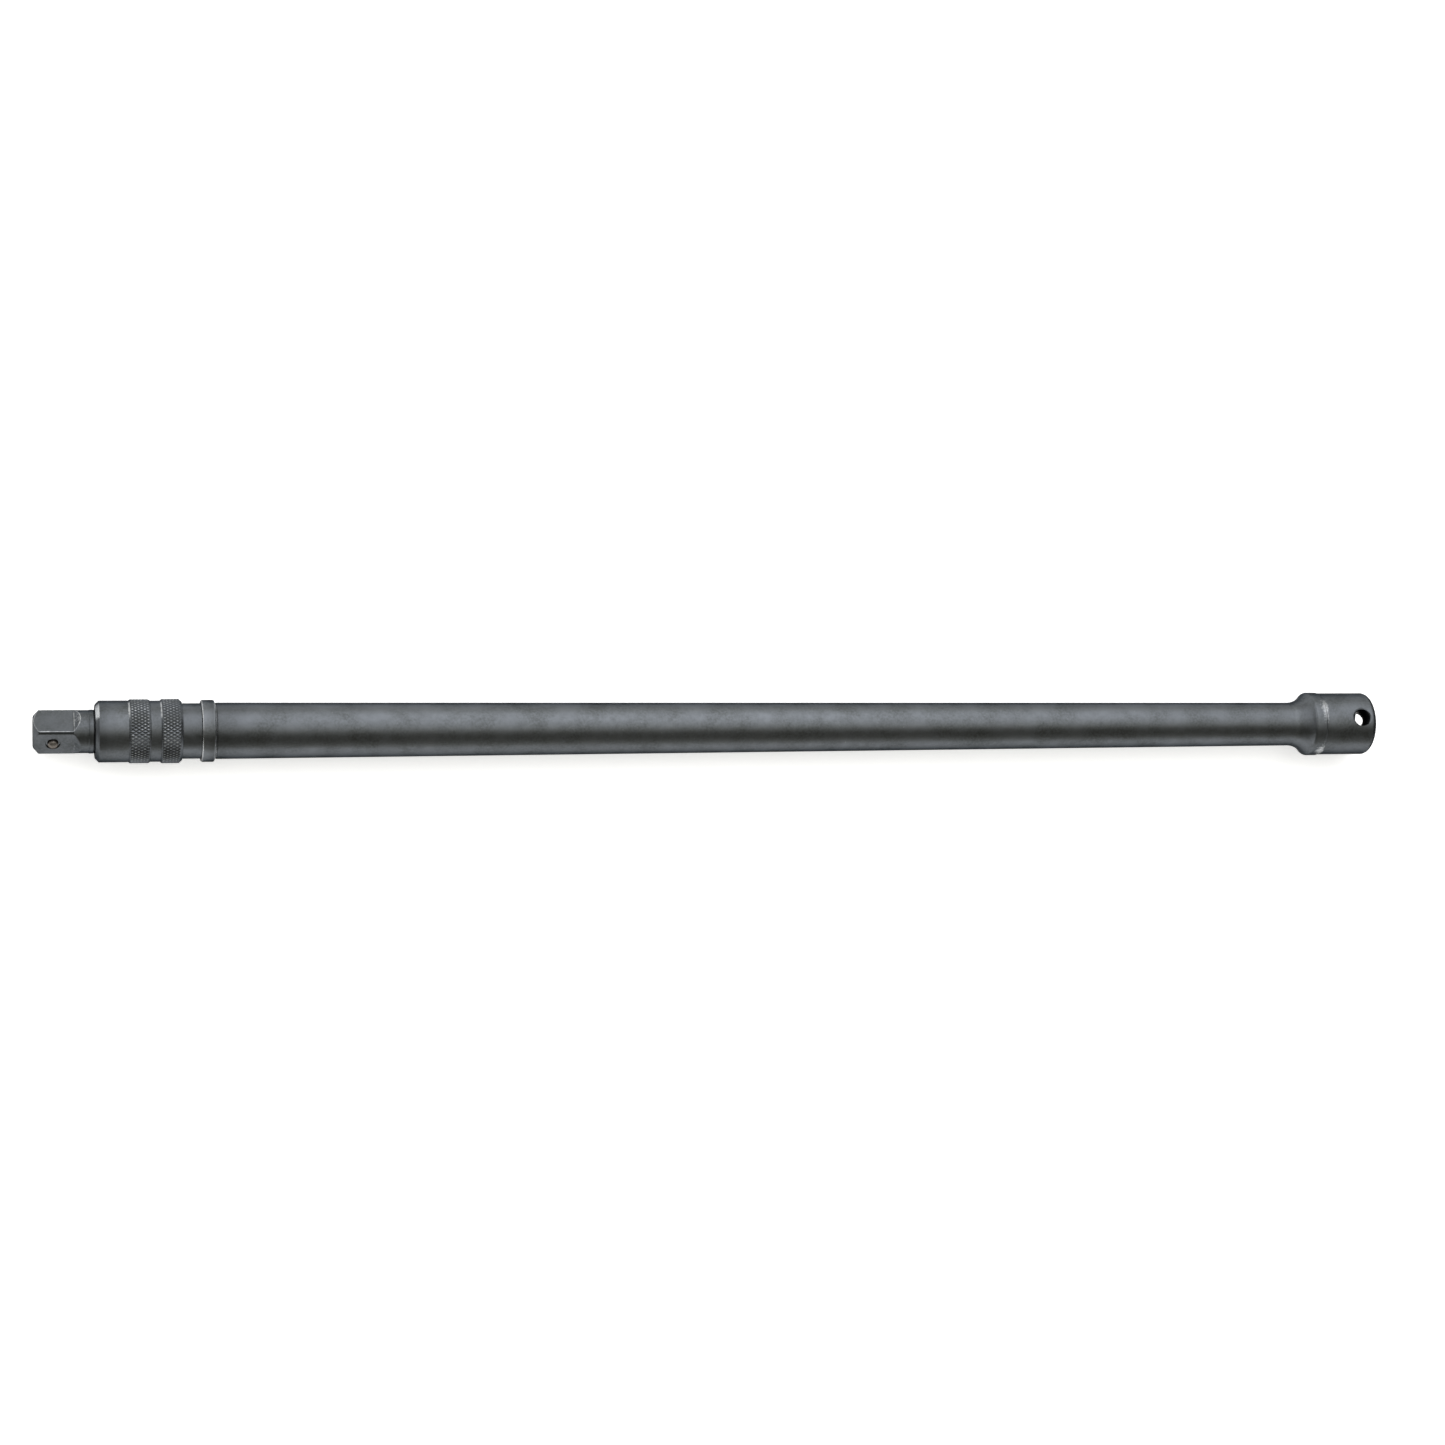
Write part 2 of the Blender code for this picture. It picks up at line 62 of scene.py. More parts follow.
# Sizes that the frame gives
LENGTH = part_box("extension_bar")[1].x
HEAD_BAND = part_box("extension_bar")[1].y
SLEEVE_FRONT, SLEEVE_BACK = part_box("locking_sleeve")[0].x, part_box("locking_sleeve")[1].x
SLEEVE_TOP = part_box("locking_sleeve")[1].z
RING_FRONT, RING_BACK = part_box("stop_ring")[0].x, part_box("stop_ring")[1].x
RING_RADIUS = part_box("stop_ring")[1].z
PIN_AT = (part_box("lock_pin")[0].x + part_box("lock_pin")[1].x) / 2
CROSS_PIN_AT = (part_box("cross_pin")[0].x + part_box("cross_pin")[1].x) / 2
WASHER_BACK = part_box("spring_washer")[1].x
PLUG_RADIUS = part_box("bore_plug")[1].z
PLUG_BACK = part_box("bore_plug")[1].x
SLIDE = {joint["name"]: joint for joint in frame["joints"]}
TRAVEL = SLIDE["sleeve_slide"]["range_m"][1]
PIN_WAY = Vector(SLIDE["lock_pin_slide"]["axis"])
PIN_FLAT = math.atan2(PIN_WAY.z, PIN_WAY.y)  # the lock pin's flat, as an angle about X from +Y

# Male end
FLAT = 6.35 * MM
CORNER = 8.45 * MM
NECK = 8.35 * MM
SQUARE_END = 15.3 * MM
RUN_OUT_SLOPE = math.tan(math.radians(38))
RUN_OUT_FILLET = 0.45 * MM
TIP = 6.05 * MM
TIP_CHAMFER = 2.1 * MM
DRIVE_END = 20.0 * MM
DRIVE_EDGE = 0.22 * MM  # how far the milled edges are rounded
DRIVE_RINGS = ((0.2, 2.9, 0.1), (3.4, 14.4, 1.0), (14.5, 20.0, 0.12))  # from, to and apart in mm
COLLAR = (21.0 * MM, 23.0 * MM, 8.5 * MM)
GROOVE = (23.9 * MM, 25.1 * MM, 7.9 * MM)
SHOULDER = 46.0 * MM
SEAT = 10.83 * MM
BORE = 3.1 * MM
BORE_END = 41.0 * MM
BORE_POINT = 1.8 * MM
PIN_HOLE = 2.7 * MM
PIN_PROUD = 1.5 * MM  # how far the lock pin stands out of its flat at rest

# Shank and female head
SHANK = (69.5 * MM, 11.05 * MM, 522.5 * MM, 9.15 * MM)
HEAD_FILLET = 10.0 * MM
HEAD_CONE = 50
HEAD_CROWN = 1.6 * MM
HEAD_STEP = 535.3 * MM
STEP_MIDDLE, STEP_REACH = HEAD_STEP + 0.07 * MM, 0.33 * MM  # where the step is rubbed
HEAD = 13.1 * MM
HEAD_EDGE = 2.6 * MM
SOCKET_FLAT = 6.4 * MM
SOCKET_CORNER = 8.75 * MM
SOCKET_DEPTH = 17.5 * MM
RELIEF = (2.0 * MM, 9.1 * MM)
MOUTH = (1.6 * MM, 9.2 * MM)
PILOT = (19.0 * MM, 6.6 * MM)
DRILL_POINT = 3.8 * MM
CROSS_HOLE_AT = LENGTH - 7.0 * MM
CROSS_HOLE = 3.5 * MM
CROSS_HOLE_INNER = 2.9 * MM
CROSS_HOLE_RIM = 4.2 * MM
DETENT = (3.2 * MM, 0.9 * MM)
SLOT_HALF = 1.8 * MM  # half the cross pin's slot, and half the pin with its play
SLOT_REACH = 14 * MM

# Sleeve
SLEEVE_NOSE = 12.02 * MM
SLEEVE_WAIST = 11.92 * MM
SLEEVE_CAVITY = 11.08 * MM
SLEEVE_FLANGE = 8.6 * MM
SLEEVE_MOUTH = 9.35 * MM
FLANGE_FRONT = 25.3 * MM
FRONT_BAND = (36.1 * MM, 44.4 * MM, 12.47 * MM)
REAR_BAND = (48.3 * MM, 56.6 * MM, 12.55 * MM)
NOSE_CHAMFER = (1.45 * MM, 10.45 * MM)
TAIL_CHAMFER = (1.2 * MM, 11.5 * MM)
DIAMONDS = 56
KNURL_COLUMNS = 28  # eighths of a diamond along a band
KNURL_DEPTH = 0.22 * MM
KNURL_FLANK = 0.4  # of a diamond's pitch
BAND_BEVEL = 0.5 * MM

# The tent's brightness, by the angle in degrees from straight up towards +Y
TENT = ((-179, 0.42), (-100, 0.42), (-90, 0.36), (-78, 0.24), (-66, 0.13), (-45, 0.1), (-32, 0.11),
        (-22, 0.24), (-12, 0.51), (0, 0.75), (12, 0.88), (25, 0.98), (38, 1.0), (52, 0.96), (64, 0.86),
        (76, 0.7), (88, 0.42), (100, 0.3), (179, 0.35))
TENT_BRIGHT = (0.97, 0.98, 1.0)
TENT_DARK = (1.0, 0.97, 0.8)
TENT_STRENGTH = 3.05
# Its brightness along the bar, by the X of a direction
TENT_ALONG = ((-1, 0.1), (-0.965, 0.12), (-0.92, 0.42), (-0.75, 0.5), (-0.05, 0.5), (0.03, 0.57),
              (0.08, 0.65), (0.13, 0.74), (0.19, 1.0), (0.26, 1.0), (0.33, 0.87), (0.4, 0.63),
              (0.6, 0.52), (0.8, 0.4), (0.95, 0.1), (1, 0.1))

# Floor, lamp and view
FLOOR_REACH, FLOOR_TONE, FLOOR_GLOW = 6.0, 0.9, 0.62
LAMP_SIZE, LAMP_POWER = (1.6, 1.0), 1.0
LAMP_BEHIND, LAMP_HEIGHT = 0.9, 1.2
VIEW_AIM, VIEW_DISTANCE, VIEW_ELEVATION = -0.0317, 1.2103, math.radians(78.3)
VIEW_LENS, VIEW_SENSOR, VIEW_NEAR = 76.39, 36.0, 0.01
VIEW_ALONG, VIEW_LIFT, VIEW_ROLL = math.radians(14.182), math.radians(0.095), math.radians(0.36)

BAR_FACETS = 360
RING_FACETS = 256
HIGHLIT_SIDE = math.radians(55)  # where the sleeve's front edges get a painted highlight, from +Y towards +Z
ROUND_EDGE = 0.12 * MM
NEARLY = 0.01 * MM  # stands in for a radius of nothing
SHARP = 38  # degrees between faces from which an edge is drawn sharp

# Wear and painted light, kept on each point: 0 is as made, 1 is bright, for real wear and for painted
# highlights, -1 is painted shade, and below that a dark non-metal painted shade for hole walls
WORN_EDGE, WORN_BESIDE = 0.9, 0.15
# Inner corners and creases are painted in shade
CREASE_SHADE, CREASE_SHADE_BESIDE = -0.6, -0.2
# Painted shade on the male square's turned corner lands
CORNER_LAND_SHADE = -0.95
# Dark painted shade on the walls of the pin hole and the cross hole
PIN_HOLE_SHADE, CROSS_HOLE_SHADE = -1.5, -2.0
# Where the bare colour comes in, for real wear and painted highlights
WEAR_AND_HIGHLIGHT_RANGE = (0.12, 0.75)
# Where painted shade darkens the coat
SHADE_RANGE = (-1.0, -0.05)
# Where the dark non-metal painted shade of the hole walls comes in, and its colour
HOLE_SHADE_RANGE = (-1.8, -1.2)
HOLE_SHADE_COLOUR = (0.042, 0.038, 0.030)
DRIVE_SHADE = (0.022, 0.024)  # where along the bar the painted shade on the drive end fades out
GRAIN_HEIGHT, LATHE_HEIGHT = 0.00003, 0.00002


def piece(name, mesh, body, node, material):
    """A shown piece that stands for a CAD node, riding on its body."""
    made = bpy.data.objects.new(name, mesh)
    bpy.context.scene.collection.objects.link(made)
    mesh.materials.clear()
    mesh.materials.append(material)
    if body:
        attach(made, body)
    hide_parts(node)
    return made


def soft_min(a, b, blend):
    """The lower of two surfaces, rounded where they cross."""
    near = np.clip(1 - np.abs(a - b) / blend, 0, 1)
    return np.minimum(a, b) - near ** 2 * blend / 4


def soft_max(a, b, blend):
    return -soft_min(-a, -b, blend)


def arc(x, radius, size, start, end, steps):
    """Points on a circle about (x, radius), from one angle to the other in degrees."""
    angles = [math.radians(start + (end - start) * k / steps) for k in range(steps + 1)]
    return [(x + size * math.cos(a), radius + size * math.sin(a)) for a in angles]


def rounded(outline, size=ROUND_EDGE, closed=False, tip=math.radians(14)):
    """(x, radius, wear) along an outline with the solid on its right: corners rounded, outer ones worn,
    inner ones painted in shade.
    """
    points = [np.array(point) for point in outline]
    count = len(points)
    made = []
    for k, here in enumerate(points):
        if not closed and k in (0, count - 1):
            made.append((*here, 0.0))
            continue
        before, after = points[k - 1] - here, points[(k + 1) % count] - here
        reach_before, reach_after = np.linalg.norm(before), np.linalg.norm(after)
        bend = math.atan2(before[1] * after[0] - before[0] * after[1], -before @ after)
        if abs(bend) < tip:
            made.append((*here, 0.0))
            continue
        edge, beside = (WORN_EDGE, WORN_BESIDE) if bend > 0 else (CREASE_SHADE, CREASE_SHADE_BESIDE)
        cut = min(size, 0.45 * reach_before, 0.45 * reach_after)
        first, last = here + before / reach_before * cut, here + after / reach_after * cut
        middle = (first + 2 * here + last) / 4
        made += [(*first, beside), (*middle, edge), (*last, beside)]
    return made


def rings_from(profile, facets):
    """Plain turned rings: (x, radii, wear) with an array round the axis for each."""
    return [(x, np.full(facets, r), np.full(facets, w)) for x, r, w in profile]


def skin(name, rings, closed=False, crossed=None):
    """A mesh over rings of points round X. crossed gives each ring's column, where quads split in turn."""
    facets = len(rings[0][1])
    angle = np.arange(facets) * TURN / facets
    points = np.concatenate([
        np.stack([np.full(facets, x), r * np.cos(angle), r * np.sin(angle)], axis=1) for x, r, _ in rings])
    wear_and_painted_light = np.concatenate([w for _, _, w in rings])
    faces = []
    m = np.arange(facets)
    after = (m + 1) % facets
    pairs = [(k, k + 1) for k in range(len(rings) - 1)] + ([(len(rings) - 1, 0)] if closed else [])
    for near, far in pairs:
        a, b = near * facets + m, near * facets + after
        c, d = far * facets + after, far * facets + m
        if crossed is None or crossed[near] is None:
            faces += np.stack([a, b, c, d], axis=1).tolist()
            continue
        odd = ((m + crossed[near]) % 2 == 1)[:, None]
        faces += np.where(odd, np.stack([a, b, d], 1), np.stack([a, b, c], 1)).tolist()
        faces += np.where(odd, np.stack([b, c, d], 1), np.stack([a, c, d], 1)).tolist()
    if not closed:
        for ring, flip in ((0, False), (len(rings) - 1, True)):
            centre = len(points)
            points = np.vstack([points, [rings[ring][0], 0, 0]])
            wear_and_painted_light = np.append(wear_and_painted_light, 0)
            ids = ring * facets + m
            fan = np.stack([np.full(facets, centre), ids, ring * facets + after], axis=1)
            faces += (fan if flip else fan[:, ::-1]).tolist()
    mesh = bpy.data.meshes.new(name)
    mesh.from_pydata(points.tolist(), [], faces)
    mesh.attributes.new("wear_and_painted_light", "FLOAT", "POINT").data.foreach_set("value", wear_and_painted_light.astype(np.float32))
    mesh.validate()
    face_out(mesh)
    smooth(mesh)
    return mesh


def signed_volume(mesh):
    """Six times the volume inside a closed mesh, below 0 if its faces point in."""
    mesh.calc_loop_triangles()
    points = np.zeros(len(mesh.vertices) * 3)
    mesh.vertices.foreach_get("co", points)
    corners = np.zeros(len(mesh.loop_triangles) * 3, int)
    mesh.loop_triangles.foreach_get("vertices", corners)
    return np.linalg.det(points.reshape(-1, 3)[corners.reshape(-1, 3)]).sum()


def face_out(mesh):
    if signed_volume(mesh) < 0:
        mesh.flip_normals()


def smooth(mesh):
    mesh.shade_smooth()
    mesh.set_sharp_from_angle(angle=math.radians(SHARP))


def turned(name, outline, facets, closed=True, size=ROUND_EDGE):
    return skin(name, rings_from(rounded(outline, size, closed), facets), closed)


def flat_cosine(angle):
    """The cosine of the angle to the nearest of the male square's flats."""
    return np.cos((angle - PIN_FLAT + TURN / 8) % (TURN / 4) - TURN / 8)


def drive_rings(angle):
    """The male square: a turned end whose four flats rise up a ramp to the neck."""
    cosine = flat_cosine(angle)
    spared = np.where(np.cos(angle - PIN_FLAT) > math.cos(TURN / 8), 0.25, 1.0)  # the pin's flat rubs less
    xs = np.concatenate([np.arange(*span) for span in DRIVE_RINGS]) * MM
    rings = []
    for x in xs:
        cone = TIP + (CORNER - TIP) * x / TIP_CHAMFER
        turned_end = soft_min(cone, CORNER, 0.3 * MM)
        neck = CORNER + (NECK - CORNER) * np.clip((x - SQUARE_END) / (2 * MM), 0, 1)
        turned_end = min(turned_end, neck)
        ramp = soft_max(FLAT, FLAT + (x - SQUARE_END) * RUN_OUT_SLOPE, RUN_OUT_FILLET)
        milled = ramp / cosine
        radii = soft_min(np.full(len(angle), turned_end), milled, DRIVE_EDGE)
        near = np.clip(1 - np.abs(turned_end - milled) / (0.3 * MM), 0, 1)
        # The turned corner lands get painted shade
        land = (milled > turned_end + 0.12 * MM) & (x > TIP_CHAMFER) & (x < SQUARE_END)
        # A painted highlight in the run-out fillet, and the ramps drawn lighter
        run_out_highlight = np.clip(1 - abs(x - SQUARE_END - 0.2 * MM) / (0.5 * MM), 0, 1) * (milled < turned_end)
        lighter_ramp = 0.35 * (x > SQUARE_END) * (milled < turned_end)
        bright = np.maximum.reduce([near * 0.95, run_out_highlight * 0.75, lighter_ramp])
        rings.append((x, radii, np.where(land, CORNER_LAND_SHADE, bright * spared)))
    return rings


def head_outline():
    """The shank's rear end and the female head, up to its end face."""
    _, _, end, radius = SHANK
    cone = math.radians(HEAD_CONE)
    fillet = arc(end, radius + HEAD_FILLET, HEAD_FILLET, -90, -90 + HEAD_CONE, 14)
    low = HEAD_BAND - HEAD_CROWN * (1 - math.cos(cone))
    crown_at = fillet[-1][0] + (low - fillet[-1][1]) / math.tan(cone) + HEAD_CROWN * math.sin(cone)
    outline = fillet + arc(crown_at, HEAD_BAND - HEAD_CROWN, HEAD_CROWN, 90 + HEAD_CONE, 90, 8)
    outline += [(HEAD_STEP - 0.1 * MM, HEAD_BAND), (HEAD_STEP + 0.25 * MM, HEAD), (HEAD_STEP + 2 * MM, HEAD)]
    outline += [(x, HEAD) for x in np.arange(LENGTH - 12 * MM, LENGTH - HEAD_EDGE - 0.3 * MM, 0.5 * MM)]
    outline += arc(LENGTH - HEAD_EDGE, HEAD - HEAD_EDGE, HEAD_EDGE, 90, 0, 14)
    return outline


def neck_outline():
    """From the male square's root over the neck and most of the shank."""
    start, front, end, rear = SHANK
    step = 0.15 * MM
    outline = [(DRIVE_END, NECK), (COLLAR[0], NECK), (COLLAR[0] + step, COLLAR[2])]
    outline += [(COLLAR[1] - step, COLLAR[2]), (COLLAR[1], NECK), (GROOVE[0], NECK), (GROOVE[0], GROOVE[2])]
    outline += [(GROOVE[1], GROOVE[2]), (GROOVE[1], NECK), (SHOULDER, NECK), (SHOULDER, SEAT - 0.5 * MM)]
    outline += [(SHOULDER + 0.5 * MM, SEAT), (start, SEAT), (start + 0.4 * MM, front)]
    slope = (rear - front) / (end - start)
    outline += [(x, front + slope * (x - start)) for x in np.linspace(start + 20 * MM, end - 10 * MM, 9)]
    return outline


def socket_rings(angle):
    """The female square from its mouth down, with a detent recess in two of its walls."""
    across = np.maximum(np.abs(np.cos(angle)), np.abs(np.sin(angle)))
    square = soft_min(SOCKET_FLAT / across, np.full(len(angle), SOCKET_CORNER), 0.3 * MM)
    bottom = LENGTH - SOCKET_DEPTH
    depths = np.concatenate([np.arange(0.0, 2.6, 0.15), np.arange(3.0, 11.6, 0.3), [13.0, 15.2, 15.45]]) * MM
    rings = []
    for depth in depths:
        x = LENGTH - depth
        mouth = max(MOUTH[1] - depth, 0) if depth < MOUTH[0] + 1.4 * MM else 0
        radii = np.maximum(square, PILOT[1])
        if mouth:
            radii = soft_max(radii, np.full(len(angle), mouth), 0.2 * MM)
        near = np.clip(1 - np.abs(square - mouth) / (0.4 * MM), 0, 1) * 0.8
        lateral = SOCKET_FLAT * np.tan(np.arcsin(np.clip(np.abs(np.sin(angle)), 0, 0.7)))
        away = np.hypot(lateral, x - CROSS_HOLE_AT)
        dimple = np.clip(1 - away / DETENT[0], 0, 1) * DETENT[1] * (np.abs(np.cos(angle)) > 0.75)
        rings.append((x, radii + dimple / across, near))
    deep = [(bottom + RELIEF[0], RELIEF[1]), (bottom, RELIEF[1]), (bottom - 0.01 * MM, PILOT[1])]
    deep += [(LENGTH - PILOT[0], PILOT[1]), (LENGTH - PILOT[0] - DRILL_POINT, 0.05 * MM)]
    # The socket's deep end is painted in shade
    return rings + rings_from([(x, radius, -0.4) for x, radius in deep], len(angle))


def upright(mesh, x):
    """A mesh turned about X, stood along the lock pin's way at a place along the bar."""
    turn = PIN_WAY.to_track_quat("X", "Y").to_matrix().to_4x4()
    mesh.transform(Matrix.Translation((x, 0, 0)) @ turn)
    return mesh


def hole_cutters():
    """The lock pin's hole, the cross pin's slot and the head's cross hole, as one cutter."""
    rim, past = 0.15 * MM, 1 * MM
    outline = [(past, NEARLY), (past, PIN_HOLE), (FLAT - rim, PIN_HOLE)]
    outline += [(FLAT + past, PIN_HOLE + past + rim), (FLAT + past, NEARLY)]
    pin_hole = turned("pin_hole", outline, 72, False, 0)
    meshes = [upright(pin_hole, PIN_AT)]
    flare = [(HEAD + past, NEARLY), (HEAD + past, CROSS_HOLE_RIM + past), (HEAD, CROSS_HOLE_RIM)]
    flare += [(HEAD - 0.25 * MM, CROSS_HOLE + 0.3 * MM), (HEAD - 0.7 * MM, CROSS_HOLE)]
    flare += [(SOCKET_FLAT, CROSS_HOLE_INNER)]
    both = flare + [(-x, r) for x, r in reversed(flare)]
    cross = turned("cross_hole", both, 96, False, 0)
    cross.transform(Matrix.Translation((CROSS_HOLE_AT, 0, 0)) @ Matrix.Rotation(-TURN / 4, 4, "Y"))
    meshes.append(cross)
    front, back = CROSS_PIN_AT - 1.9 * MM, CROSS_PIN_AT + TRAVEL + 2.0 * MM
    outline = arc(front + SLOT_HALF, 0, SLOT_HALF, 270, 90, 12)
    outline += arc(back - SLOT_HALF, 0, SLOT_HALF, 90, -90, 12)
    count = len(outline)
    points = [(x, y, z) for y in (-SLOT_REACH, SLOT_REACH) for x, z in outline]
    faces = [list(range(count))[::-1], list(range(count, 2 * count))]
    faces += [[k, (k + 1) % count, count + (k + 1) % count, count + k] for k in range(count)]
    slot = bpy.data.meshes.new("slot")
    slot.from_pydata(points, [], faces)
    face_out(slot)
    slot.transform(Matrix.Rotation(PIN_FLAT - TURN / 4, 4, "X"))
    meshes.append(slot)
    joined = bpy.data.meshes.new("holes")
    points, faces = [], []
    for mesh in meshes:
        faces += [[len(points) + v for v in face.vertices] for face in mesh.polygons]
        points += [vertex.co[:] for vertex in mesh.vertices]
    joined.from_pydata(points, [], faces)
    cutter = bpy.data.objects.new("holes", joined)
    bpy.context.scene.collection.objects.link(cutter)
    return cutter


def cut(mesh, cutter):
    """The mesh with the cutter's holes in it, and the cutter gone."""
    target = bpy.data.objects.new("target", mesh)
    bpy.context.scene.collection.objects.link(target)
    step = target.modifiers.new("holes", "BOOLEAN")
    step.object = cutter
    step.solver = "EXACT"
    graph = bpy.context.evaluated_depsgraph_get()
    made = bpy.data.meshes.new_from_object(target.evaluated_get(graph))
    for gone in (target, cutter):
        bpy.data.objects.remove(gone)
    return made


def painted_rims_and_walls(mesh):
    """Painted highlight and shade on the cross hole's rim, and dark painted shade on the walls of both round
    holes.
    """
    count = len(mesh.vertices)
    co = np.zeros(count * 3)
    mesh.vertices.foreach_get("co", co)
    co = co.reshape(-1, 3)
    wear_and_painted_light = np.zeros(count, np.float32)
    mesh.attributes["wear_and_painted_light"].data.foreach_get("value", wear_and_painted_light)
    away = np.hypot(co[:, 0] - CROSS_HOLE_AT, co[:, 1])
    out = np.abs(co[:, 2])
    # Painted highlight on the rim towards +X and -Y, painted shade on its far side
    rim_highlight_and_shade = 0.6 * np.cos(np.arctan2(co[:, 1], co[:, 0] - CROSS_HOLE_AT) + math.radians(35)) - 0.3
    wear_and_painted_light = np.where((away < CROSS_HOLE_RIM + 0.1 * MM) & (out > HEAD - 1.2 * MM), rim_highlight_and_shade, wear_and_painted_light)
    # Dark painted shade on the cross hole's wall
    wear_and_painted_light = np.where((away < CROSS_HOLE - 0.02 * MM) & (out < HEAD - 0.9 * MM), CROSS_HOLE_SHADE, wear_and_painted_light)
    along = co @ np.array(PIN_WAY)
    side = np.linalg.norm(co - np.outer(along, np.array(PIN_WAY)) - np.array([PIN_AT, 0, 0]), axis=1)
    pin_hole = (side < PIN_HOLE + 0.02 * MM) & (along > BORE) & (along < FLAT - 0.1 * MM)
    # Dark painted shade on the pin hole's wall
    wear_and_painted_light = np.where(pin_hole, PIN_HOLE_SHADE, wear_and_painted_light)
    mesh.attributes["wear_and_painted_light"].data.foreach_set("value", wear_and_painted_light.astype(np.float32))


def bar_mesh():
    """The bar in one closed skin: up the bore, over the outside, down the socket, then the holes."""
    angle = np.arange(BAR_FACETS) * TURN / BAR_FACETS
    seat = PLUG_RADIUS + 0.1 * MM
    inside = [(BORE_END + BORE_POINT, 0.05 * MM), (BORE_END, BORE), (PLUG_BACK + 0.05 * MM, BORE)]
    inside += [(PLUG_BACK + 0.05 * MM, seat), (0.0, seat), (0.0, TIP - 0.15 * MM)]
    inside += [(0.06 * MM, TIP - 0.02 * MM)]
    rings = rings_from(rounded(inside), BAR_FACETS)
    rings += drive_rings(angle)
    outside = rings_from(rounded(neck_outline() + head_outline()), BAR_FACETS)
    # Painted shade on the rounding of the head's end
    end_rim_shade = np.interp([x for x, _, _ in outside], (LENGTH - 2.3 * MM, LENGTH - 1.5 * MM), (0, -0.85))
    step = 0.45 + 0.5 * np.cos(4 * angle - math.radians(300))  # rubbed in four patches round the head's step
    for (x, radii, wear_and_painted_light), painted_shade in zip(outside, end_rim_shade):
        spared = np.minimum(wear_and_painted_light, 0.1) if x < SHOULDER else wear_and_painted_light  # the neck is under the sleeve
        rings.append((x, radii, step if abs(x - STEP_MIDDLE) < STEP_REACH else spared + painted_shade))
    rings += socket_rings(angle)
    mesh = cut(skin("extension_bar_fine", rings), hole_cutters())
    painted_rims_and_walls(mesh)
    smooth(mesh)
    return mesh


def band_rings(low, high, crest, facets, back_bevel):
    """A diamond-knurled band. A column is an eighth of a diamond, so grooves and crests lie on edges."""
    m = np.arange(facets)
    rings, columns = [], []
    length, foot = back_bevel
    for n in range(KNURL_COLUMNS + 1):
        x = low + (high - low) * n / KNURL_COLUMNS
        a, b = (m + n) / 8 % 1, (m - n) / 8 % 1
        rise = np.minimum(np.minimum(np.minimum(a, 1 - a), np.minimum(b, 1 - b)) / KNURL_FLANK, 1)
        radii = crest - KNURL_DEPTH * (1 - rise)
        front = SLEEVE_WAIST + (x - low) / BAND_BEVEL * (crest - SLEEVE_WAIST)
        back = foot + (crest - foot) * (high - x) / length
        edge = np.minimum(front, back)
        # Crests rubbed bright as wear, grooves painted in shade
        crest_wear_and_groove_shade = np.interp(rise, (0, 0.3, 0.7, 1), (-0.8, -0.4, 0.2, 0.7))
        # Front bevel: painted highlight on one side; back bevel: painted shade
        bevel_highlight_and_shade = side_highlight_and_shade(facets) if x < low + BAND_BEVEL else np.full(facets, -0.1)
        rings.append((x, np.minimum(radii, edge), np.where(edge < radii, bevel_highlight_and_shade, crest_wear_and_groove_shade)))
        columns.append(n)
    return rings, columns


def side_highlight_and_shade(facets):
    """A painted highlight on one side of the sleeve's front edges, round the axis, with a little painted
    shade on the rest.
    """
    away = np.cos(np.arange(facets) * TURN / facets - HIGHLIT_SIDE)
    return np.clip((away - 0.9) / 0.06, -0.25, 0.95)


def sleeve_mesh():
    """The sleeve in one closed skin: its nose, its two knurled bands, then back through its cavity."""
    facets = 8 * DIAMONDS
    flange_back = CROSS_PIN_AT - 1.8 * MM
    front = [(FLANGE_FRONT, SLEEVE_MOUTH), (SLEEVE_FRONT, SLEEVE_MOUTH), (SLEEVE_FRONT, NOSE_CHAMFER[1])]
    front += [(x, SLEEVE_NOSE) for x in (SLEEVE_FRONT + NOSE_CHAMFER[0], 30 * MM, FRONT_BAND[0] - 0.4 * MM)]
    rings = rings_from(rounded([(FLANGE_FRONT, 9.0 * MM)] + front)[1:], facets)
    columns = [None] * len(rings)
    for band, back_bevel in ((FRONT_BAND, (BAND_BEVEL, SLEEVE_WAIST)), (REAR_BAND, TAIL_CHAMFER)):
        made, numbers = band_rings(*band, facets, back_bevel)
        rings += made
        columns += numbers[:-1] + [None]
        if band is FRONT_BAND:
            # The waist between the bands is painted a little darker, as shade
            waist = [(x, SLEEVE_WAIST, -0.1) for x in (FRONT_BAND[1] + 0.3 * MM, REAR_BAND[0] - 0.3 * MM)]
            rings += rings_from(waist, facets)
            columns += [None] * len(waist)
    inside = [(SLEEVE_BACK, SLEEVE_CAVITY), (flange_back, SLEEVE_CAVITY), (flange_back, SLEEVE_FLANGE)]
    inside += [(FLANGE_FRONT, SLEEVE_FLANGE)]
    made = rings_from(rounded(inside), facets)
    nose = SLEEVE_FRONT + NOSE_CHAMFER[0] + 0.05 * MM
    lip = NOSE_CHAMFER[1] - 0.2 * MM
    # Painted highlight on one side of the nose's chamfer
    rings = [(x, r, np.where((x < nose) & (r > lip), side_highlight_and_shade(facets), w)) for x, r, w in rings]
    return skin("locking_sleeve_fine", rings + made, True, columns + [None] * len(made))


